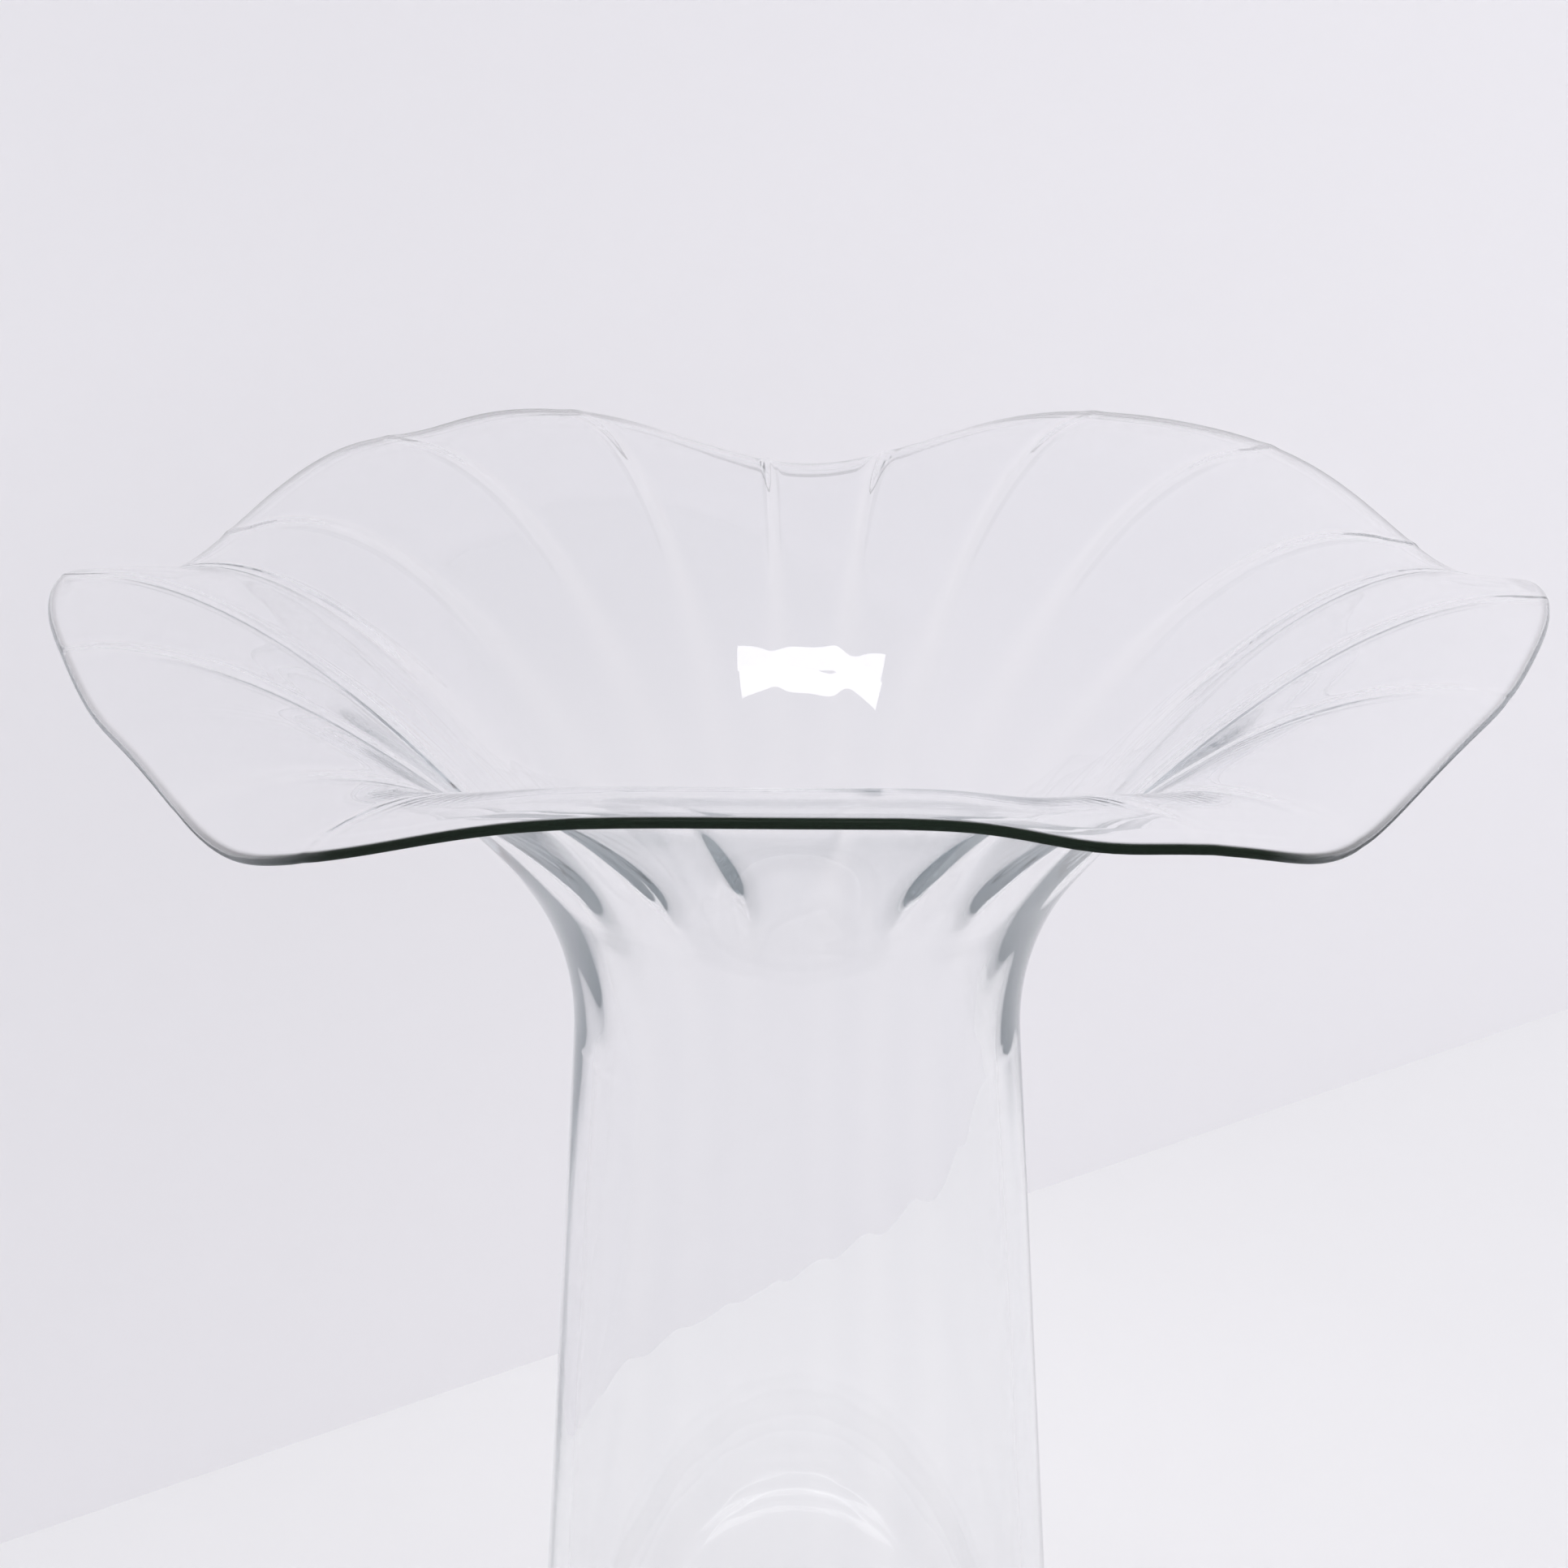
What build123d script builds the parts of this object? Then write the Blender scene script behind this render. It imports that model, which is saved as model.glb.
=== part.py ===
from build123d import *
import os
from math import atan2, asin, cos, exp, hypot, log, radians, sin, tan

# Ruffled fan vase in clear ribbed glass, standing on the table with +Z up.
# Lengths are in millimetres and angles in degrees, measured from +X towards +Y.

# Outline of the outer face
BASE_RADIUS = 45.7
NECK_RADIUS = 32.8
NECK_HEIGHT = 181.0
THROAT_BEND = 45.0
FLARE_ANGLE = 36.0
RIM_RADIUS = 100.5
RIM_HEIGHT = 250.0

# Roundness of the flare: how far it keeps the throat's slope and the lip's slope
THROAT_REACH = 20.0
LIP_REACH = 20.0

# Glass thickness: where the wall leaves the base, the waist, the start of the flare, and the lip
FOOT_WALL = 3.6
WALL = 3.2
MOUTH_WALL = 2.0
LIP_THICKNESS = 1.6
LIP_WIDTH = 5.0

# Heavy base, with a bowl inside and a hollow underneath
BASE_HEIGHT = 27.0
FLOOR_THICKNESS = 13.0
BASE_EDGE = 4.0
HOLLOW_RADIUS = 31.0
HOLLOW_DEPTH = 3.0
HOLLOW_EDGE = 1.5

# Five crimps that press the rim down and leave a lobe between each two
CRIMP_ANGLES = (16.0, 89.0, 160.0, 231.5, 306.5)
CRIMP_DEPTHS = (10.3, 14.2, 13.0, 12.9, 11.2)
CRIMP_HALF_WIDTH = 14.0
LOBE_TILT = 2.0
CRIMP_TILT = 20.0

# Optic ribs: ridges inside the body and the throat, which crease the whole sheet at the lip.
# The wall has a section at each rib and so many from one rib to the next.
RIB_COUNT = 20
BODY_RIB_DEPTH = 0.15
RIB_DEPTH = 0.4
FIRST_RIB = 5.6
STATIONS_PER_RIB = 4

# Centre of the circle that the throat bends about, as radius and height
BEND_CENTRE = Vector(NECK_RADIUS + THROAT_BEND, NECK_HEIGHT)

# Lean of the body wall, whose line touches the bend and ends at the foot
FOOT_SIDE = BEND_CENTRE.X - BASE_RADIUS
FOOT_DISTANCE = hypot(FOOT_SIDE, BEND_CENTRE.Y)
WALL_LEAN = asin(THROAT_BEND / FOOT_DISTANCE) - atan2(FOOT_SIDE, BEND_CENTRE.Y)

# Top edge of the base, where the body wall stands
SEAT_OUTER = BASE_RADIUS - BASE_HEIGHT * tan(WALL_LEAN)
SEAT_INNER = SEAT_OUTER - FOOT_WALL / cos(WALL_LEAN)


def half_plane(angle):
    """Plane through the axis, with x outwards at this angle and y upwards."""
    turn = radians(angle)
    return Plane(origin=(0, 0, 0), x_dir=(cos(turn), sin(turn), 0), z_dir=(sin(turn), -cos(turn), 0))


def crimp_share(angle, crimp_angle):
    """One at the crimp, a half at its half width and nothing on the lobes."""
    sharpness = log(2) / (1 - cos(radians(CRIMP_HALF_WIDTH)))
    return exp(-sharpness * (1 - cos(radians(angle - crimp_angle))))


def rib_share(angle):
    """One on a rib and nothing between ribs."""
    return max(0.0, cos(radians(RIB_COUNT * (angle - FIRST_RIB))))


def bend_point(turn, depth):
    """Point on the throat's bend, so many radians above the waist and so deep in the wall."""
    return BEND_CENTRE + Vector(-cos(turn), sin(turn)) * (THROAT_BEND + depth)


def lip_frame(angle):
    """Middle of the lip's edge at this angle, and its directions outwards and upwards."""
    shares = [crimp_share(angle, crimp) for crimp in CRIMP_ANGLES]
    drop = sum(depth * share for depth, share in zip(CRIMP_DEPTHS, shares))
    tilt = radians(LOBE_TILT - CRIMP_TILT * sum(shares))
    outwards = Vector(cos(tilt), sin(tilt))
    upwards = Vector(-sin(tilt), cos(tilt))
    edge = Vector(RIM_RADIUS, RIM_HEIGHT - drop) + upwards * (RIB_DEPTH * rib_share(angle))
    return edge, outwards, upwards


def draw_body(angle):
    """Straight wall from the base to the start of the throat."""
    outer_top = bend_point(-WALL_LEAN, 0)
    inner_top = bend_point(-WALL_LEAN, WALL + BODY_RIB_DEPTH * rib_share(angle))
    Polyline((SEAT_OUTER, BASE_HEIGHT), outer_top, inner_top, (SEAT_INNER, BASE_HEIGHT), close=True)


def draw_neck(angle):
    """Bend of the throat, from the leaning wall through the waist to the flare."""
    middle = (radians(FLARE_ANGLE) - WALL_LEAN) / 2
    turns = (-WALL_LEAN, middle, radians(FLARE_ANGLE))
    low = WALL + BODY_RIB_DEPTH * rib_share(angle)
    high = MOUTH_WALL + RIB_DEPTH * rib_share(angle)
    depths = (low, (low + high) / 2, high)
    outer = ThreePointArc(*[bend_point(turn, 0) for turn in turns])
    inner = ThreePointArc(*[bend_point(turn, depth) for turn, depth in zip(turns, depths)])
    Line(outer @ 0, inner @ 0)
    Line(outer @ 1, inner @ 1)


def draw_mouth(angle):
    """Flare from the throat out to the lip, rolling over as it goes."""
    edge, outwards, upwards = lip_frame(angle)
    start = edge - outwards * LIP_WIDTH
    slope = Vector(sin(radians(FLARE_ANGLE)), cos(radians(FLARE_ANGLE)))
    faces = []
    for depth, side in ((0, -1), (MOUTH_WALL + RIB_DEPTH * rib_share(angle), 1)):
        low = bend_point(radians(FLARE_ANGLE), depth)
        high = start + upwards * (side * LIP_THICKNESS / 2)
        faces.append(Bezier(low, low + slope * THROAT_REACH, high - outwards * LIP_REACH, high))
    Line(faces[0] @ 0, faces[1] @ 0)
    Line(faces[0] @ 1, faces[1] @ 1)


def draw_lip(angle):
    """Even lip with a round, fire-polished edge."""
    edge, outwards, upwards = lip_frame(angle)
    start = edge - outwards * LIP_WIDTH
    rise = upwards * (LIP_THICKNESS / 2)
    round_start = edge - outwards * (LIP_THICKNESS / 2)
    under = Line(start - rise, round_start - rise)
    top = Line(start + rise, round_start + rise)
    ThreePointArc(under @ 1, edge, top @ 1)
    Line(under @ 0, top @ 0)


def ring_sections(draw_outline):
    """The outline in each half-plane round the axis, the first one again at the end."""
    stations = RIB_COUNT * STATIONS_PER_RIB
    sections = []
    for station in range(stations):
        angle = FIRST_RIB + station * 360 / stations
        with BuildSketch(half_plane(angle), mode=Mode.PRIVATE) as section:
            with BuildLine():
                draw_outline(angle)
            make_face()
        sections.append(section.sketch)
    return sections + sections[:1]


# Base: solid glass, turned round the axis
with BuildPart() as base:
    with BuildSketch(Plane.XZ):
        with BuildLine():
            hollow = ThreePointArc(
                (-HOLLOW_RADIUS, 0), (0, HOLLOW_DEPTH), (HOLLOW_RADIUS, 0), mode=Mode.PRIVATE
            )
            underside = hollow.trim(0.5, 1)
            add(underside)
            Polyline(underside @ 1, (BASE_RADIUS, 0), (SEAT_OUTER, BASE_HEIGHT), (SEAT_INNER, BASE_HEIGHT))
            bowl = EllipticalCenterArc(
                (0, BASE_HEIGHT), SEAT_INNER, BASE_HEIGHT - FLOOR_THICKNESS, start_angle=270, arc_size=90
            )
            Line(underside @ 0, bowl @ 0)
        make_face()
    revolve(axis=Axis.Z)
    rings = base.edges().filter_by(GeomType.CIRCLE).group_by(Axis.Z)[0].sort_by(SortBy.RADIUS)
    fillet(rings[-1], radius=BASE_EDGE)
    rings = base.edges().filter_by(GeomType.CIRCLE).group_by(Axis.Z)[0].sort_by(SortBy.RADIUS)
    fillet(rings[0], radius=HOLLOW_EDGE)

with BuildPart() as body_wall:
    loft(ring_sections(draw_body), ruled=True)

with BuildPart() as neck:
    loft(ring_sections(draw_neck), ruled=True)

with BuildPart() as fan_mouth:
    loft(ring_sections(draw_mouth), ruled=True)

with BuildPart() as lip:
    loft(ring_sections(draw_lip), ruled=True)

PIECES = {
    "base": base,
    "body_wall": body_wall,
    "neck": neck,
    "fan_mouth": fan_mouth,
    "lip": lip,
}

os.makedirs("parts", exist_ok=True)
for name, piece in PIECES.items():
    piece.part.label = name
    export_step(piece.part, f"parts/{name}.step")
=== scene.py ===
from math import asin, atan2, cos, hypot, log, pi, radians, sin, tan
from typing import NamedTuple

import bpy
from bpy.props import FloatProperty, FloatVectorProperty, IntProperty, PointerProperty
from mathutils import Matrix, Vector


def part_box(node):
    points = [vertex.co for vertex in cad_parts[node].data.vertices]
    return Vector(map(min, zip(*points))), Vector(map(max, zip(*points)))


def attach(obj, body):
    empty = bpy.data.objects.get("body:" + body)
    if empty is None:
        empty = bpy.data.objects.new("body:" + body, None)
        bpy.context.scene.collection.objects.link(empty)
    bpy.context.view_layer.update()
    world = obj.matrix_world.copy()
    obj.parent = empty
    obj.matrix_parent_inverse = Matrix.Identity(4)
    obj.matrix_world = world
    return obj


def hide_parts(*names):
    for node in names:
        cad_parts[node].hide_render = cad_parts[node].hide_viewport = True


bl_info = {
    "name": "Ruffled Fan Vase",
    "version": (1, 0, 0),
    "blender": (4, 5, 0),
    "location": "3D View > Sidebar > Fan Vase",
    "description": "Makes a clear ribbed glass fan vase with a crimped rim, and a pale studio for it",
    "category": "Add Mesh",
}

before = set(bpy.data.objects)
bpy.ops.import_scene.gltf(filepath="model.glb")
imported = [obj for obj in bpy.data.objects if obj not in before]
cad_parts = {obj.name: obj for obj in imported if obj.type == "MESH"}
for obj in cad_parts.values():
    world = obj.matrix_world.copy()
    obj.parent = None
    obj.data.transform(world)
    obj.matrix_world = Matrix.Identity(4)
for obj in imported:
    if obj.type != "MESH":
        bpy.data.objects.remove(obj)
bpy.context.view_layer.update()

MM = 0.001
GLASS_NODES = ("base", "body_wall", "neck", "fan_mouth", "lip")
BASE_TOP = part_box("base")[1].z
CRIMP_ANGLES = (16.0, 89.0, 160.0, 232.0, 306.0)
CRIMP_DEPTHS = (10.3, 14.2, 13.0, 11.7, 9.9)
DENT_ANGLES = (129.0, 212.0, 229.0, 288.5, 308.0, 328.0)
DENT_DEPTHS = (1.6, 2.1, 2.2, 1.6, 2.4, 1.2)
PRESSES = {"Crimp": CRIMP_ANGLES, "Dent": DENT_ANGLES}

# Mesh steps along the outline, from the middle of the hollow to the middle of the bowl
HOLLOW_STEPS, BASE_EDGE_STEPS = 10, 8
BODY_STEPS, THROAT_STEPS, FLARE_STEPS = 6, 13, 29
LIP_STEPS, BEAD_STEPS, BOWL_STEPS = 7, 10, 16

# Share of the painted shade between the ribs, from the foot, over the flare and on the lip
BODY_PANEL_SHADE, THROAT_PANEL_SHADE, LIP_PANEL_SHADE = 0.45, 0.5, 0.4
FLARE_PANEL_SHADES = (THROAT_PANEL_SHADE, 1.0, 1.0, LIP_PANEL_SHADE)

# The ribs of the flare have this share of their height a quarter of the way along it
FIRST_RISE = 0.3
# Half width of the swell of the front ribs, as a share of the flare
SWELL_REACH = 0.14
# Half width of the painted dark on the lip, past its bead, as a share of the bead's width
EDGE_FALL = 0.3

# How closely mesh steps gather on the ribs, where 0 spaces them evenly
STEP_GATHER = 0.7
# Inside this radius a rib gets no wider in angle
NARROWEST = 20.0 * MM
# How far the ribs of the flare fade at the front
FRONT_FADE = 0.9
# Painted dark of the lip's edge, standing in for the dark line seen along it: where it sets in towards the
# front, over what share, and at the sides and back
DARK_FROM, DARK_RAMP = 0.81, 0.12
SIDE_DARK, BACK_DARK = 0.3, 0.6
# Most that the painted dark edge hides of the clear glass
EDGE_COVER = 0.8
# Points nearer than this are one, at the seam and on the axis
MERGE_DISTANCE = 0.002 * MM

# Studio: reach of the sheets, height of the backdrop, glow of the room at eye level and overhead
SHEET_REACH = 6.0
WALL_HEIGHT = 2.5
LOW_GLOW = (0.79, 0.79, 0.82)
HIGH_GLOW = (0.75, 0.755, 0.785)
PICTURE_WIDTH_MM = 36.0
NEAREST_VIEW = 0.01
# Light that runs along inside the sheet meets its faces many times
LONGEST_PATH, LONGEST_MIRROR_PATH = 96, 72


class FanVaseShape(bpy.types.PropertyGroup):
    """Sizes of the glass"""

    base_radius: FloatProperty(
        name="Base Radius",
        description="Outer radius where the wall meets the table",
        default=45.7 * MM,
        unit="LENGTH",
    )
    neck_radius: FloatProperty(
        name="Neck Radius",
        description="Outer radius at the waist",
        default=32.8 * MM,
        unit="LENGTH",
    )
    neck_height: FloatProperty(
        name="Neck Height",
        description="Height of the waist",
        default=181.0 * MM,
        unit="LENGTH",
    )
    throat_bend: FloatProperty(
        name="Throat Bend",
        description="Radius that the outer face of the throat bends about",
        default=45.0 * MM,
        unit="LENGTH",
    )
    flare_angle: FloatProperty(
        name="Flare Angle",
        description="Slope of the flare from upright where it leaves the throat",
        default=radians(36),
        subtype="ANGLE",
    )
    rim_radius: FloatProperty(
        name="Rim Radius",
        description="Radius of the lip's edge",
        default=100.4 * MM,
        unit="LENGTH",
    )
    rim_height: FloatProperty(
        name="Rim Height",
        description="Height of the lip on a lobe",
        default=250.0 * MM,
        unit="LENGTH",
    )
    throat_reach: FloatProperty(
        name="Throat Reach",
        description="How far the flare keeps the slope of the throat",
        default=20.0 * MM,
        unit="LENGTH",
    )
    lip_reach: FloatProperty(
        name="Lip Reach",
        description="How far the flare keeps the slope of the lip",
        default=20.0 * MM,
        unit="LENGTH",
    )
    wall: FloatProperty(
        name="Wall",
        description="Glass thickness at the waist",
        default=3.2 * MM,
        unit="LENGTH",
    )
    foot_wall: FloatProperty(
        name="Foot Wall",
        description="Glass thickness where the wall stands on the base",
        default=3.6 * MM,
        unit="LENGTH",
    )
    mouth_wall: FloatProperty(
        name="Mouth Wall",
        description="Glass thickness where the flare leaves the throat",
        default=2.0 * MM,
        unit="LENGTH",
    )
    lip_sheet: FloatProperty(
        name="Lip Sheet",
        description="Glass thickness of the flare towards the lip",
        default=1.1 * MM,
        unit="LENGTH",
    )
    lip_thickness: FloatProperty(
        name="Lip Thickness",
        description="Glass thickness of the bead at the edge",
        default=1.2 * MM,
        unit="LENGTH",
    )
    bead_width: FloatProperty(
        name="Bead Width",
        description="Distance over which the bead falls to half its swell",
        default=1.0 * MM,
        unit="LENGTH",
    )
    lip_width: FloatProperty(
        name="Lip Width",
        description="Width of the even lip",
        default=5.0 * MM,
        unit="LENGTH",
    )
    base_height: FloatProperty(
        name="Base Height",
        description="Height of the heavy base",
        default=BASE_TOP,
        unit="LENGTH",
    )
    floor_thickness: FloatProperty(
        name="Floor Thickness",
        description="Height of the lowest point of the bowl inside",
        default=13.0 * MM,
        unit="LENGTH",
    )
    base_edge: FloatProperty(
        name="Base Edge",
        description="Rounding of the outer edge under the base",
        default=4.0 * MM,
        unit="LENGTH",
    )
    hollow_radius: FloatProperty(
        name="Hollow Radius",
        description="Radius of the hollow under the base",
        default=31.0 * MM,
        unit="LENGTH",
    )
    hollow_depth: FloatProperty(
        name="Hollow Depth",
        description="Depth of the hollow under the base",
        default=3.0 * MM,
        unit="LENGTH",
    )
    crimp_angles: FloatVectorProperty(
        name="Crimp Angles",
        description="Where the crimps stand round the rim",
        size=len(CRIMP_ANGLES),
        default=[radians(angle) for angle in CRIMP_ANGLES],
        unit="ROTATION",
    )
    crimp_depths: FloatVectorProperty(
        name="Crimp Depths",
        description="How far each crimp presses the rim down",
        size=len(CRIMP_DEPTHS),
        default=[depth * MM for depth in CRIMP_DEPTHS],
        unit="LENGTH",
    )
    crimp_half_width: FloatProperty(
        name="Crimp Half Width",
        description="Angle from a crimp to where it is half as deep",
        default=radians(14),
        subtype="ANGLE",
    )
    dent_angles: FloatVectorProperty(
        name="Dent Angles",
        description="Where the rim sags a little from hand working",
        size=len(DENT_ANGLES),
        default=[radians(angle) for angle in DENT_ANGLES],
        unit="ROTATION",
    )
    dent_depths: FloatVectorProperty(
        name="Dent Depths",
        description="How far the rim sags at each dent",
        size=len(DENT_DEPTHS),
        default=[depth * MM for depth in DENT_DEPTHS],
        unit="LENGTH",
    )
    dent_half_width: FloatProperty(
        name="Dent Half Width",
        description="Angle from a dent to where it is half as deep",
        default=radians(5),
        subtype="ANGLE",
    )
    lobe_tilt: FloatProperty(
        name="Lobe Tilt",
        description="Rise of the lip on a lobe",
        default=radians(2),
        subtype="ANGLE",
    )
    crimp_tilt: FloatProperty(
        name="Crimp Tilt",
        description="How much further the lip droops at a crimp",
        default=radians(20),
        subtype="ANGLE",
    )
    rib_count: IntProperty(name="Ribs", description="Optic ribs round the wall", default=20)
    first_rib: FloatProperty(
        name="First Rib",
        description="Angle of the first rib",
        default=radians(5.6),
        subtype="ANGLE",
    )
    throat_rib_width: FloatProperty(
        name="Throat Rib Width",
        description="Distance from the middle of a rib to where it is half as high, in the throat",
        default=3.9 * MM,
        unit="LENGTH",
    )
    rim_rib_width: FloatProperty(
        name="Rim Rib Width",
        description="Distance from the middle of a rib to where it is half as high, near the rim",
        default=1.1 * MM,
        unit="LENGTH",
    )
    body_ribs: FloatProperty(
        name="Body Ribs",
        description="Height of the ribs inside the top of the body",
        default=0.14 * MM,
        unit="LENGTH",
    )
    throat_ribs: FloatProperty(
        name="Throat Ribs",
        description="How far the ribs swell inside the flare's start at the front",
        default=0.75 * MM,
        unit="LENGTH",
    )
    swell_place: FloatProperty(
        name="Swell Place",
        description="Where the ribs swell most, as a share of the flare",
        default=0.24,
        subtype="FACTOR",
    )
    mouth_ribs: FloatProperty(
        name="Mouth Ribs",
        description="Height of the ribs inside the flare",
        default=0.55 * MM,
        unit="LENGTH",
    )
    lip_ribs: FloatProperty(
        name="Lip Ribs",
        description="How far the lip is creased upwards at a rib",
        default=0.2 * MM,
        unit="LENGTH",
    )
    rib_pull: FloatProperty(
        name="Rib Pull",
        description="How far the ribs at the rim are drawn towards the nearest crimp",
        default=radians(6),
        subtype="ANGLE",
    )
    rib_squeeze: FloatProperty(
        name="Rib Squeeze",
        description="How far the ribs are drawn together at the front and the back, as by an oval mould",
        default=radians(7.5),
        subtype="ANGLE",
    )
    squeeze_angle: FloatProperty(
        name="Rib Squeeze Angle",
        description="Angle where the ribs are drawn together",
        default=radians(270),
        subtype="ANGLE",
    )
    flat_rib_angle: FloatProperty(
        name="Flat Rib Angle",
        description="Angle of the one rib that hand working has smoothed inside the throat",
        default=radians(274.6),
        subtype="ANGLE",
    )
    flat_rib_width: FloatProperty(
        name="Flat Rib Half Width",
        description="Angle from the smoothed rib to where the ribs swell half as far",
        default=radians(10),
        subtype="ANGLE",
    )
    around: IntProperty(
        name="Steps Around",
        description="Mesh steps round the axis",
        default=600,
    )


class FanVaseGlass(bpy.types.PropertyGroup):
    """Finish of the glass, with painted shade between the ribs and a painted dark lip edge"""

    depth_tint: FloatVectorProperty(
        name="Depth Tint",
        description="Colour that light takes on its way through thick glass",
        subtype="COLOR",
        default=(0.42, 0.52, 0.57),
    )
    depth_density: FloatProperty(
        name="Depth Density",
        description="How quickly the glass takes that colour, per metre",
        default=5.2,
    )
    waviness: FloatProperty(
        name="Waviness",
        description="Height of the slow waves that hand working leaves in the surface",
        default=0.08 * MM,
        unit="LENGTH",
    )
    # Painted shade: grey mixed into the glass between the ribs, so that the ribs look bright
    panel_painted_shade: FloatVectorProperty(
        name="Panel Tint",
        description="Colour of the glass between two ribs",
        subtype="COLOR",
        default=(0.965, 0.968, 0.975),
    )
    # Painted shade: near-black colour of the lip's edge, standing in for the dark line seen along it
    edge_painted_dark: FloatVectorProperty(
        name="Edge Tint",
        description="Colour of the glass seen along the lip's edge",
        subtype="COLOR",
        default=(0.006, 0.012, 0.006),
    )


class FanVaseStage(bpy.types.PropertyGroup):
    """Studio round the vase"""

    floor_colour: FloatVectorProperty(
        name="Floor Colour",
        description="Colour of the table",
        subtype="COLOR",
        default=(0.88, 0.875, 0.885),
    )
    wall_colour: FloatVectorProperty(
        name="Wall Colour",
        description="Colour of the backdrop",
        subtype="COLOR",
        default=(0.90, 0.89, 0.91),
    )
    wall_turn: FloatProperty(
        name="Wall Turn",
        description="Angle of the backdrop's foot from +X",
        default=radians(33),
        subtype="ANGLE",
    )
    wall_distance: FloatProperty(
        name="Wall Distance",
        description="Distance of the backdrop from the axis",
        default=0.186,
        unit="LENGTH",
    )
    view_distance: FloatProperty(
        name="View Distance",
        description="Distance of the camera from the middle of the rim",
        default=0.370,
        unit="LENGTH",
    )
    view_rise: FloatProperty(
        name="View Rise",
        description="Angle of the camera above the rim",
        default=radians(16.09),
        subtype="ANGLE",
    )
    view_pitch: FloatProperty(
        name="View Pitch",
        description="Angle that the camera looks down",
        default=radians(21.04),
        subtype="ANGLE",
    )
    view_turn: FloatProperty(
        name="View Turn",
        description="Angle that the camera looks aside from the axis",
        default=radians(0.31),
        subtype="ANGLE",
    )
    lens: FloatProperty(
        name="Lens",
        description="Focal length in millimetres on a 36 mm wide picture",
        default=61.25,
    )


class Wire:
    """An output socket that takes part in Python arithmetic, each operator adding a Math node."""

    def __init__(self, socket):
        self.socket = socket

    def math(self, operation, *operands):
        return add_node(
            self.socket.id_data, "ShaderNodeMath", {"operation": operation}, dict(enumerate(operands))
        )

    def __add__(self, other):
        return self.math("ADD", self, other)

    def __radd__(self, other):
        return self.math("ADD", other, self)

    def __sub__(self, other):
        return self.math("SUBTRACT", self, other)

    def __rsub__(self, other):
        return self.math("SUBTRACT", other, self)

    def __mul__(self, other):
        return self.math("MULTIPLY", self, other)

    def __rmul__(self, other):
        return self.math("MULTIPLY", other, self)

    def __truediv__(self, other):
        return self.math("DIVIDE", self, other)

    def __rtruediv__(self, other):
        return self.math("DIVIDE", other, self)

    def __pow__(self, other):
        return self.math("POWER", self, other)

    def __rpow__(self, other):
        return self.math("POWER", other, self)

    def sine(self):
        return self.math("SINE", self)

    def cosine(self):
        return self.math("COSINE", self)

    def floor(self):
        return self.math("FLOOR", self)

    def exponential(self):
        return self.math("EXPONENT", self)

    def at_least(self, low):
        return self.math("MAXIMUM", self, low)


def add_node(tree, kind, settings=None, sockets=None, output=0):
    """Adds a node, makes its settings, fills or links its sockets and gives one of its outputs."""
    node = tree.nodes.new(kind)
    for name, value in (settings or {}).items():
        setattr(node, name, value)
    for key, value in (sockets or {}).items():
        if isinstance(value, Wire):
            tree.links.new(value.socket, node.inputs[key])
        else:
            node.inputs[key].default_value = value
    return Wire(node.outputs[output])


def axis_of(tree, vector, axis):
    """One of the three numbers of a vector."""
    return add_node(tree, "ShaderNodeSeparateXYZ", None, {0: vector}, axis)


def value_along(values, share):
    """Value at this share of the way through evenly spaced values."""
    place = share * (len(values) - 1)
    start = min(int(place), len(values) - 2)
    return values[start] + (values[start + 1] - values[start]) * (place - start)


def bell(away, half_width):
    """One in the middle and a half at the half width."""
    return 0.5 ** ((away / half_width) ** 2)


class OutlinePoint(NamedTuple):
    """Radius and height of a point, the direction into the vase, what the ribs and the lip do there, and
    its shares of painted shade between the ribs and of painted dark on the lip's edge.
    """

    place: Vector
    inward: Vector = Vector((0, 0))
    rib: float = 0.0
    rib_width: float = MM
    pull: float = 0.0
    tint: float = 0.0
    swell: float = 0.0
    edge: float = 0.0


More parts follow.
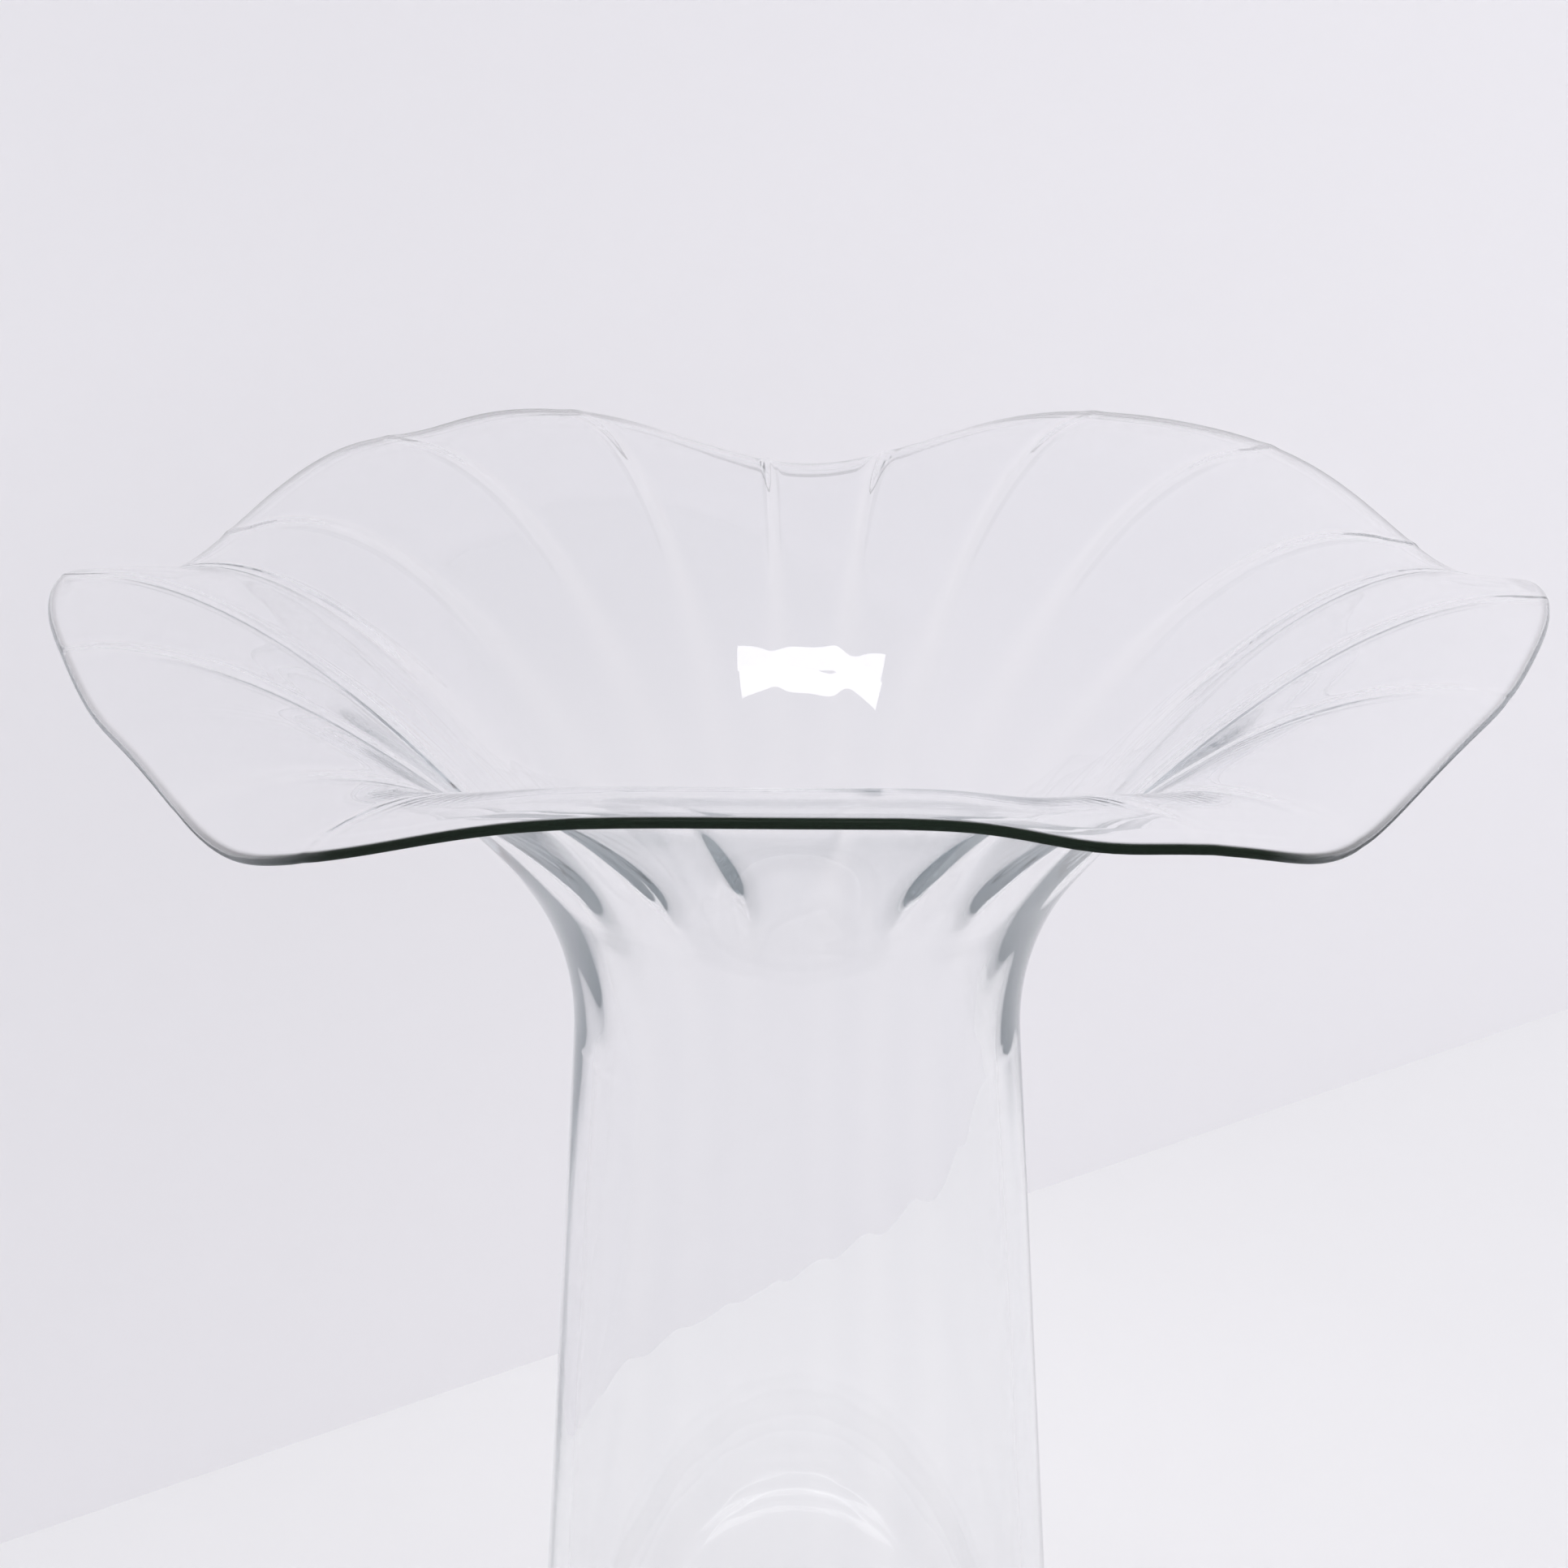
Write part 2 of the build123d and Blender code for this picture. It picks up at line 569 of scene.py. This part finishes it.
class Outline:
    """Points of the glass: the hollow underneath, up the outside, over the lip and down the inside."""

    def __init__(self, shape, tilt, drop):
        self.shape = shape
        self.points = []
        self.bend = Vector((shape.neck_radius + shape.throat_bend, shape.neck_height))
        foot_side = self.bend.x - shape.base_radius
        foot_distance = hypot(foot_side, self.bend.y)
        self.lean = asin(shape.throat_bend / foot_distance) - atan2(foot_side, self.bend.y)
        self.outwards = Vector((cos(tilt), sin(tilt)))
        self.upwards = Vector((-sin(tilt), cos(tilt)))
        self.edge = Vector((shape.rim_radius, shape.rim_height - drop))
        self.draw_foot()
        self.draw_face(False)
        self.draw_lip()
        self.draw_face(True)
        self.draw_bowl()

    def add(self, radius, height):
        """Point of a smooth face, away from the ribs."""
        self.points.append(OutlinePoint(Vector((radius, height))))

    def wall_inward(self, turn):
        """Direction into the vase where the wall slopes out by this angle."""
        return Vector((-cos(turn), sin(turn)))

    def flare(self, share):
        """Point of the outer face from the throat to the lip, and the direction into the vase there."""
        shape = self.shape
        slope = Vector((sin(shape.flare_angle), cos(shape.flare_angle)))
        low = self.bend + self.wall_inward(shape.flare_angle) * shape.throat_bend
        high = self.edge - self.outwards * shape.lip_width - self.upwards * (shape.lip_sheet / 2)
        knots = (low, low + slope * shape.throat_reach, high - self.outwards * shape.lip_reach, high)
        rest = 1 - share
        weights = (rest ** 3, 3 * rest ** 2 * share, 3 * rest * share ** 2, share ** 3)
        slopes = (rest ** 2, 2 * rest * share, share ** 2)
        point = sum((knot * weight for knot, weight in zip(knots, weights)), Vector((0, 0)))
        steps = [knots[i + 1] - knots[i] for i in range(3)]
        course = sum((step * weight for step, weight in zip(steps, slopes)), Vector((0, 0))).normalized()
        return point, Vector((-course.y, course.x))

    def draw_foot(self):
        """Hollow under the base, the flat ring and the rounded edge."""
        shape = self.shape
        for step in range(HOLLOW_STEPS + 1):
            share = step / HOLLOW_STEPS
            self.add(share * shape.hollow_radius, shape.hollow_depth * (1 - share ** 2))
        corner = pi / 2 - self.lean
        start = shape.base_radius - shape.base_edge / tan(corner / 2)
        for step in range(BASE_EDGE_STEPS + 1):
            turn = (pi - corner) * step / BASE_EDGE_STEPS
            self.add(start + shape.base_edge * sin(turn), shape.base_edge * (1 - cos(turn)))

    def draw_face(self, inside):
        """The outer face, from the base to the lip, or the inner face, from the lip to the base."""
        face = [*self.body_face(inside), *self.throat_face(inside), *self.flare_face(inside)]
        for depth, point in reversed(face) if inside else face:
            inner = point.place + point.inward * depth
            self.points.append(point._replace(place=inner) if inside else point)

    def body_face(self, inside):
        """Depth of the wall and point of its outer face, up the straight body."""
        shape = self.shape
        ridge = shape.body_ribs if inside else 0.0
        inward = self.wall_inward(-self.lean)
        foot = Vector((shape.base_radius - shape.base_height * tan(self.lean), shape.base_height))
        top = self.bend + inward * shape.throat_bend
        for step in range(BODY_STEPS):
            share = step / BODY_STEPS
            yield value_along((shape.foot_wall, shape.wall), share), OutlinePoint(
                place=foot.lerp(top, share),
                inward=inward,
                rib=ridge * share,
                rib_width=shape.throat_rib_width,
                tint=BODY_PANEL_SHADE,
            )

    def throat_face(self, inside):
        """Depth of the wall and point of its outer face, round the bend of the throat."""
        shape = self.shape
        for step in range(THROAT_STEPS):
            share = step / THROAT_STEPS
            inward = self.wall_inward(-self.lean + (shape.flare_angle + self.lean) * share)
            yield value_along((shape.wall, shape.mouth_wall), share), OutlinePoint(
                place=self.bend + inward * shape.throat_bend,
                inward=inward,
                rib=shape.body_ribs if inside else 0.0,
                rib_width=shape.throat_rib_width,
                tint=value_along((BODY_PANEL_SHADE, THROAT_PANEL_SHADE), share),
            )

    def flare_face(self, inside):
        """Depth of the wall and point of its outer face, along the flare to the lip."""
        shape = self.shape
        ridge = shape.body_ribs if inside else 0.0
        mouth = shape.mouth_ribs if inside else 0.0
        swell = shape.throat_ribs if inside else 0.0
        creases = (0.0, FIRST_RISE * mouth, mouth, mouth, shape.lip_ribs)
        widths = (shape.throat_rib_width, shape.rim_rib_width, shape.rim_rib_width)
        for step in range(FLARE_STEPS + 1):
            share = step / FLARE_STEPS
            place, inward = self.flare(share)
            yield value_along((shape.mouth_wall, shape.lip_sheet, shape.lip_sheet), share), OutlinePoint(
                place=place,
                inward=inward,
                rib=value_along((ridge, 0.0), share) + value_along(creases, share),
                rib_width=value_along(widths, share),
                pull=share,
                tint=value_along(FLARE_PANEL_SHADES, share),
                swell=swell * bell(share - shape.swell_place, SWELL_REACH),
            )

    def draw_lip(self):
        """Even lip that swells to a round, fire-polished bead at its edge."""
        shape = self.shape
        bead = shape.lip_thickness / 2
        sheet = shape.lip_sheet / 2
        top = []
        for step in range(1, LIP_STEPS):
            back = shape.lip_width + (bead - shape.lip_width) * step / LIP_STEPS
            high = sheet + (bead - sheet) * bell(back - bead, shape.bead_width)
            # The third number is the share of painted dark, highest on the bead
            top.append((back, high, bell(back - bead, EDGE_FALL * shape.bead_width)))
        under = [(back, -high, edge) for back, high, edge in top]
        turns = [pi * step / BEAD_STEPS for step in range(BEAD_STEPS + 1)]
        ring = [(bead - bead * sin(turn), -bead * cos(turn), 1.0) for turn in turns]
        for back, high, edge in under + ring + top[::-1]:
            point = OutlinePoint(
                place=self.edge - self.outwards * back + self.upwards * high,
                inward=self.upwards,
                rib=shape.lip_ribs,
                rib_width=shape.rim_rib_width,
                pull=1.0,
                tint=LIP_PANEL_SHADE,
                edge=edge,
            )
            self.points.append(point)

    def draw_bowl(self):
        """Bowl inside the base, down to the axis."""
        seat = self.points[-1].place
        depth = seat.y - self.shape.floor_thickness
        for step in range(1, BOWL_STEPS + 1):
            turn = pi / 2 * step / BOWL_STEPS
            self.add(seat.x * cos(turn), seat.y - depth * sin(turn))


def mean_crimp(shape):
    """Depth of the crimp that the crimped outline is drawn with."""
    return sum(shape.crimp_depths) / len(shape.crimp_depths)


def outline_mesh(shape):
    """Line of the outline on a lobe, carrying the outline at a crimp and its own numbers as attributes."""
    lobe = Outline(shape, shape.lobe_tilt, 0.0).points
    crimp = Outline(shape, shape.lobe_tilt - shape.crimp_tilt, mean_crimp(shape)).points
    mesh = bpy.data.meshes.new("glass_outline")
    corners = [(point.place.x, 0, point.place.y) for point in lobe]
    mesh.from_pydata(corners, [(i, i + 1) for i in range(len(lobe) - 1)], [])
    vectors_of = {
        "crimped": [point.place for point in crimp],
        "inward": [point.inward for point in lobe],
    }
    for name, vectors in vectors_of.items():
        layer = mesh.attributes.new(name, "FLOAT_VECTOR", "POINT")
        layer.data.foreach_set("vector", [number for v in vectors for number in (v.x, 0, v.y)])
    for name in ("rib", "rib_width", "pull", "tint", "swell", "edge"):
        layer = mesh.attributes.new(name, "FLOAT", "POINT")
        layer.data.foreach_set("value", [getattr(point, name) for point in lobe])
    return mesh


def press_share(away, half_width):
    """One where a press or a rib is deepest and a half at its half width, and smooth all round."""
    return ((1.0 - away.cosine()) * -log(2) / (1.0 - half_width.cosine())).exponential()


def sweep_inputs():
    """Name and kind of each input of the fan sweep, after the outline."""
    numbers = ["Crimp Half Width", "Dent Half Width", "First Rib", "Rib Pull"]
    numbers += ["Rib Squeeze", "Rib Squeeze Angle", "Flat Rib Angle", "Flat Rib Half Width"]
    for press, angles in PRESSES.items():
        for number in range(len(angles)):
            numbers += [f"{press} Angle {number + 1}", f"{press} Strength {number + 1}"]
    kinds = {"Steps Around": "NodeSocketInt", "Ribs": "NodeSocketInt"}
    kinds.update({name: "NodeSocketFloat" for name in numbers})
    kinds["Glass"] = "NodeSocketMaterial"
    return kinds


def fan_sweep_tree():
    """Geometry nodes that turn the outline round the axis, with crimps, dents and ribs."""
    tree = bpy.data.node_groups.new("Fan Sweep", "GeometryNodeTree")
    tree.is_modifier = True
    tree.interface.new_socket("Geometry", in_out="OUTPUT", socket_type="NodeSocketGeometry")
    tree.interface.new_socket("Outline", in_out="INPUT", socket_type="NodeSocketGeometry")
    for name, kind in sweep_inputs().items():
        tree.interface.new_socket(name, in_out="INPUT", socket_type=kind)
    group = tree.nodes.new("NodeGroupInput")

    def given(name):
        return Wire(group.outputs[name])

    def sampled(name, kind, index):
        """The named attribute of the outline at a point of it."""
        attribute = add_node(tree, "GeometryNodeInputNamedAttribute", {"data_type": kind}, {"Name": name})
        return add_node(
            tree,
            "GeometryNodeSampleIndex",
            {"data_type": kind, "domain": "POINT"},
            {"Geometry": given("Outline"), "Value": attribute, "Index": index},
        )

    def scaled(vector, factor):
        return add_node(tree, "ShaderNodeVectorMath", {"operation": "SCALE"}, {0: vector, "Scale": factor})

    def added(vector, other):
        return add_node(tree, "ShaderNodeVectorMath", {"operation": "ADD"}, {0: vector, 1: other})

    # Each vertex of a flat grid belongs to one point of the outline and one step round the axis
    count = add_node(
        tree, "GeometryNodeAttributeDomainSize", {"component": "MESH"}, {"Geometry": given("Outline")}
    )
    around = given("Steps Around")
    sheet = add_node(
        tree,
        "GeometryNodeMeshGrid",
        None,
        {"Size X": 1.0, "Size Y": 1.0, "Vertices X": around + 1.0, "Vertices Y": count},
    )
    index = add_node(tree, "GeometryNodeInputIndex")
    station = ((index + 0.5) / count).floor()
    point = index - station * count
    turn = station / around * (2 * pi)

    # Steps gather at the ribs, where the wall bends most, and a crimp draws the ribs beside it nearer
    ribs = given("Ribs")
    even = turn - ((turn - given("First Rib")) * ribs).sine() * STEP_GATHER / ribs
    drawn = 0.0
    for number in range(len(CRIMP_ANGLES)):
        away = even - given(f"Crimp Angle {number + 1}")
        drawn = press_share(away, given("Crimp Half Width")) * away.sine() + drawn
    near_rim = sampled("pull", "FLOAT", point)
    pull = drawn / given("Crimp Half Width").sine() * given("Rib Pull") * near_rim
    squeeze = ((even - given("Rib Squeeze Angle")) * 2.0).sine() * given("Rib Squeeze")
    angle = even - pull - squeeze * (1.0 - near_rim * near_rim)

    # Crimps and dents press the rim from the outline on a lobe towards the one at a crimp
    crimped = 0.0
    for press, angles in PRESSES.items():
        for number in range(len(angles)):
            away = angle - given(f"{press} Angle {number + 1}")
            share = press_share(away, given(f"{press} Half Width"))
            crimped = share * given(f"{press} Strength {number + 1}") + crimped

    on_lobe = sampled("position", "FLOAT_VECTOR", point)
    place = add_node(
        tree,
        "ShaderNodeMix",
        {"data_type": "VECTOR", "clamp_factor": False},
        {0: crimped, 4: on_lobe, 5: sampled("crimped", "FLOAT_VECTOR", point)},
        1,
    )

    # Ribs stand on the inside face, fade towards the front of the flare and swell at its start there
    across = axis_of(tree, on_lobe, 0)
    half_turn = sampled("rib_width", "FLOAT", point) / across.at_least(NARROWEST) * ribs
    on_rib = press_share((even - given("First Rib")) * ribs, half_turn)
    flat = press_share(angle - given("Flat Rib Angle"), given("Flat Rib Half Width"))
    front = (1.0 - angle.sine()) * 0.5
    near_front = front ** 3.0
    swollen = sampled("swell", "FLOAT", point) * near_front * (1.0 - flat)
    offset = on_rib * (sampled("rib", "FLOAT", point) * (1.0 - near_front * FRONT_FADE) + swollen)
    place = added(place, scaled(sampled("inward", "FLOAT_VECTOR", point), offset))
    radius = axis_of(tree, place, 0)
    turned = add_node(
        tree,
        "ShaderNodeCombineXYZ",
        None,
        {0: radius * angle.cosine(), 1: radius * angle.sine(), 2: axis_of(tree, place, 2)},
    )
    shell = add_node(tree, "GeometryNodeSetPosition", None, {"Geometry": sheet, "Position": turned})

    # Painted shade: the glass is greyed between the ribs so that the ribs look bright, and the lip's edge
    # is painted dark, darkest at the front
    dark = ((front - DARK_FROM) / DARK_RAMP).at_least(SIDE_DARK).at_least(angle.sine() * BACK_DARK)
    dark = 1.0 - (1.0 - dark).at_least(0.0)
    marks = {
        "panel": (1.0 - on_rib) * sampled("tint", "FLOAT", point),
        "painted_lip_dark": sampled("edge", "FLOAT", point) * dark,
    }
    for name, value in marks.items():
        shell = add_node(
            tree,
            "GeometryNodeStoreNamedAttribute",
            {"data_type": "FLOAT", "domain": "POINT"},
            {"Geometry": shell, "Name": name, "Value": value},
        )
    shell = add_node(
        tree, "GeometryNodeMergeByDistance", None, {"Geometry": shell, "Distance": MERGE_DISTANCE}
    )
    shell = add_node(tree, "GeometryNodeSetShadeSmooth", None, {"Geometry": shell, "Shade Smooth": True})
    shell = add_node(tree, "GeometryNodeRealizeInstances", None, {"Geometry": shell})
    shell = add_node(tree, "GeometryNodeSetMaterial", None, {"Geometry": shell, "Material": given("Glass")})
    result = tree.nodes.new("NodeGroupOutput")
    tree.links.new(shell.socket, result.inputs["Geometry"])
    return tree


def swept_glass(name, shape, material):
    """Object whose mesh is the outline turned by the fan sweep."""
    piece = bpy.data.objects.new(name, outline_mesh(shape))
    bpy.context.scene.collection.objects.link(piece)
    modifier = piece.modifiers.new("Fan Sweep", "NODES")
    tree = fan_sweep_tree()
    modifier.node_group = tree
    values = {
        "Steps Around": shape.around,
        "Ribs": shape.rib_count,
        "Crimp Half Width": shape.crimp_half_width,
        "Dent Half Width": shape.dent_half_width,
        "First Rib": shape.first_rib,
        "Rib Pull": shape.rib_pull,
        "Rib Squeeze": shape.rib_squeeze,
        "Rib Squeeze Angle": shape.squeeze_angle,
        "Flat Rib Angle": shape.flat_rib_angle,
        "Flat Rib Half Width": shape.flat_rib_width,
        "Glass": material,
    }
    presses = {
        "Crimp": zip(shape.crimp_angles, shape.crimp_depths),
        "Dent": zip(shape.dent_angles, shape.dent_depths),
    }
    for press, places in presses.items():
        for number, (angle, deep) in enumerate(places):
            values[f"{press} Angle {number + 1}"] = angle
            values[f"{press} Strength {number + 1}"] = deep / mean_crimp(shape)
    for socket in tree.interface.items_tree:
        if socket.in_out == "INPUT" and socket.name in values:
            modifier[socket.identifier] = values[socket.name]
    evaluated = piece.evaluated_get(bpy.context.evaluated_depsgraph_get())
    mesh = bpy.data.meshes.new_from_object(evaluated)
    outline = piece.data
    piece.modifiers.clear()
    piece.data = mesh
    mesh.name = name
    bpy.data.meshes.remove(outline)
    bpy.data.node_groups.remove(tree)
    return piece


def new_material(name):
    """Empty node material and its output node."""
    material = bpy.data.materials.new(name)
    material.use_nodes = True
    material.node_tree.nodes.clear()
    return material, material.node_tree, material.node_tree.nodes.new("ShaderNodeOutputMaterial")


def mixed(tree, share, start, end):
    """Colour so far of the way from one colour to another."""
    colours = {0: share}
    for key, colour in ((6, start), (7, end)):
        colours[key] = colour if isinstance(colour, Wire) else (*colour, 1)
    return add_node(tree, "ShaderNodeMix", {"data_type": "RGBA"}, colours, 2)


def clear_glass(finish):
    """Clear hand-worked glass: painted shade between the ribs that makes them look bright, a painted dark
    edge, slow waves, faint smears and a grey-blue depth.
    """
    material, tree, out = new_material("clear_glass")
    place = add_node(tree, "ShaderNodeTexCoord", output="Object")
    waves = add_node(
        tree, "ShaderNodeTexNoise", None, {"Vector": place, "Scale": 26.0, "Detail": 1.0, "Roughness": 0.4}
    )
    bump = add_node(
        tree, "ShaderNodeBump", None, {"Strength": 0.4, "Distance": finish.waviness, "Height": waves}
    )
    smears = add_node(
        tree, "ShaderNodeTexNoise", None, {"Vector": place, "Scale": 40.0, "Detail": 5.0, "Roughness": 0.7}
    )
    smear_start, smear_haze = 0.55, 0.12
    roughness = (smears - smear_start).at_least(0.0) * smear_haze
    panel = add_node(tree, "ShaderNodeAttribute", {"attribute_name": "panel"}, output="Fac")
    edge = add_node(tree, "ShaderNodeAttribute", {"attribute_name": "painted_lip_dark"}, output="Fac")
    # Painted shade: grey between the ribs and near-black on the lip's edge
    tint = mixed(tree, panel, (1, 1, 1), finish.panel_painted_shade)
    tint = mixed(tree, edge, tint, finish.edge_painted_dark)
    glass = add_node(
        tree,
        "ShaderNodeBsdfPrincipled",
        None,
        {
            "Base Color": tint,
            "Roughness": roughness,
            "IOR": 1.5,
            "Transmission Weight": 1.0,
            "Normal": bump,
        },
    )
    depth = add_node(
        tree,
        "ShaderNodeVolumeAbsorption",
        None,
        {"Color": (*finish.depth_tint, 1), "Density": finish.depth_density},
    )
    dark = add_node(
        tree,
        "ShaderNodeBsdfPrincipled",
        None,
        {"Base Color": (*finish.edge_painted_dark, 1), "Roughness": 0.8, "Specular IOR Level": 0.0},
    )
    # Painted shade: a near-black matt skin mixed over the glass on the lip's edge
    cover = edge ** 3.0 * EDGE_COVER
    surface = add_node(tree, "ShaderNodeMixShader", None, {0: cover, 1: glass, 2: dark})
    tree.links.new(surface.socket, out.inputs["Surface"])
    tree.links.new(depth.socket, out.inputs["Volume"])
    return material


def plain_finish(name, colour, one_sided=False):
    """Matt paint with a faint mottle; a one-sided sheet shows only from its front."""
    material, tree, out = new_material(name)
    place = add_node(tree, "ShaderNodeTexCoord", output="Object")
    mottle = add_node(tree, "ShaderNodeTexNoise", None, {"Vector": place, "Scale": 6.0, "Detail": 3.0})
    mottle_lift = 1.02
    pale = [min(1.0, channel * mottle_lift) for channel in colour]
    tint = mixed(tree, mottle, colour, pale)
    paint = add_node(tree, "ShaderNodeBsdfDiffuse", None, {"Color": tint, "Roughness": 0.6})
    if one_sided:
        behind = add_node(tree, "ShaderNodeNewGeometry", output="Backfacing")
        through = add_node(tree, "ShaderNodeBsdfTransparent")
        paint = add_node(tree, "ShaderNodeMixShader", None, {0: behind, 1: paint, 2: through})
    tree.links.new(paint.socket, out.inputs["Surface"])
    return material


def sheet_object(name, corners, material):
    """Flat stage sheet from its corners."""
    mesh = bpy.data.meshes.new(name)
    mesh.from_pydata(corners, [], [tuple(range(len(corners)))])
    mesh.materials.append(material)
    sheet = bpy.data.objects.new(name, mesh)
    bpy.context.scene.collection.objects.link(sheet)


def softbox(name, place, aim, size, power, colour):
    """Rectangular soft lamp that looks at a point."""
    lamp = bpy.data.lights.new(name, "AREA")
    lamp.shape = "RECTANGLE"
    lamp.size, lamp.size_y = size
    lamp.energy = power
    lamp.color = colour
    holder = bpy.data.objects.new(name, lamp)
    holder.location = place
    holder.rotation_euler = (Vector(aim) - Vector(place)).to_track_quat("-Z", "Y").to_euler()
    bpy.context.scene.collection.objects.link(holder)
    return holder


class FANVASE_OT_glass(bpy.types.Operator):
    """Make the glass of the vase in one seamless piece"""

    bl_idname = "fan_vase.glass"
    bl_label = "Vase Glass"

    def execute(self, context):
        settings = context.scene
        piece = swept_glass("vase_glass", settings.fan_vase_shape, clear_glass(settings.fan_vase_glass))
        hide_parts(*GLASS_NODES)
        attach(piece, "root")
        piece.visible_shadow = False
        return {"FINISHED"}


class FANVASE_OT_stage(bpy.types.Operator):
    """Make the table, the backdrop, the lamps and the camera"""

    bl_idname = "fan_vase.stage"
    bl_label = "Studio"

    def execute(self, context):
        stage = context.scene.fan_vase_stage
        self.make_surfaces(stage)
        self.make_light(context)
        self.make_camera(context, stage)
        return {"FINISHED"}

    def make_surfaces(self, stage):
        reach = SHEET_REACH
        floor = plain_finish("floor_paint", stage.floor_colour)
        corners = [(-reach, -reach, 0), (reach, -reach, 0), (reach, reach, 0), (-reach, reach, 0)]
        sheet_object("floor", corners, floor)
        along = Vector((cos(stage.wall_turn), sin(stage.wall_turn), 0))
        behind = Vector((-along.y, along.x, 0)) * stage.wall_distance
        up = Vector((0, 0, WALL_HEIGHT))
        low, high = behind - along * reach, behind + along * reach
        wall = plain_finish("wall_paint", stage.wall_colour, one_sided=True)
        sheet_object("wall", [low, high, high + up, low + up], wall)

    def make_light(self, context):
        world = bpy.data.worlds.new("soft_room")
        world.use_nodes = True
        tree = world.node_tree
        tree.nodes.clear()
        direction = add_node(tree, "ShaderNodeTexCoord", output="Generated")
        height = axis_of(tree, direction, 2)
        rise = add_node(
            tree,
            "ShaderNodeMapRange",
            {"interpolation_type": "SMOOTHSTEP"},
            {"Value": height, "From Min": 0.25, "From Max": 0.75, "To Min": 0.0, "To Max": 1.0},
        )
        sky = mixed(tree, rise, LOW_GLOW, HIGH_GLOW)
        glow = add_node(tree, "ShaderNodeBackground", None, {"Color": sky, "Strength": 1.0})
        out = tree.nodes.new("ShaderNodeOutputWorld")
        tree.links.new(glow.socket, out.inputs["Surface"])
        context.scene.world = world
        softbox(
            "ceiling_lamp",
            place=(-0.1, -0.6, 1.725),
            aim=(-0.1, 0.0, 0.2),
            size=(1.15, 0.145),
            power=3.6,
            colour=(1.0, 0.99, 0.97),
        )
        room = softbox(
            "room_lamp",
            place=(1.25, -0.5, 1.15),
            aim=(0.0, 0.1, 0.15),
            size=(0.9, 0.9),
            power=4.8,
            colour=(1.0, 0.99, 0.98),
        )
        room.visible_glossy = False
        room.visible_transmission = False
        paths = context.scene.cycles
        paths.max_bounces = LONGEST_PATH
        paths.glossy_bounces = LONGEST_MIRROR_PATH
        paths.transmission_bounces = LONGEST_PATH

    def make_camera(self, context, stage):
        context.scene.view_settings.view_transform = "Standard"
        shape = context.scene.fan_vase_shape
        camera = bpy.data.objects.new("camera", bpy.data.cameras.new("camera"))
        camera.data.sensor_width = PICTURE_WIDTH_MM
        camera.data.lens = stage.lens
        camera.location = (
            0,
            -stage.view_distance * cos(stage.view_rise),
            shape.rim_height + stage.view_distance * sin(stage.view_rise),
        )
        camera.rotation_euler = (pi / 2 - stage.view_pitch, 0, stage.view_turn)
        camera.data.clip_start = NEAREST_VIEW
        context.scene.collection.objects.link(camera)
        context.scene.camera = camera


class FANVASE_PT_panel(bpy.types.Panel):
    """Fan vase pieces and sizes"""

    bl_idname = "FANVASE_PT_panel"
    bl_label = "Fan Vase"
    bl_space_type = "VIEW_3D"
    bl_region_type = "UI"
    bl_category = "Fan Vase"

    def draw(self, context):
        for operator in OPERATORS:
            self.layout.operator(operator.bl_idname)
        for group in SETTINGS:
            column = self.layout.column()
            values = getattr(context.scene, group)
            for name in values.bl_rna.properties.keys():
                if name not in ("rna_type", "name"):
                    column.prop(values, name)


SETTINGS = {
    "fan_vase_shape": FanVaseShape,
    "fan_vase_glass": FanVaseGlass,
    "fan_vase_stage": FanVaseStage,
}
OPERATORS = (FANVASE_OT_glass, FANVASE_OT_stage)
CLASSES = (*SETTINGS.values(), *OPERATORS, FANVASE_PT_panel)


def register():
    for each in CLASSES:
        bpy.utils.register_class(each)
    for name, group in SETTINGS.items():
        setattr(bpy.types.Scene, name, PointerProperty(type=group))


def unregister():
    for name in SETTINGS:
        delattr(bpy.types.Scene, name)
    for each in reversed(CLASSES):
        bpy.utils.unregister_class(each)


def main():
    register()
    bpy.ops.fan_vase.glass()
    bpy.ops.fan_vase.stage()


if __name__ == "__main__":
    main()
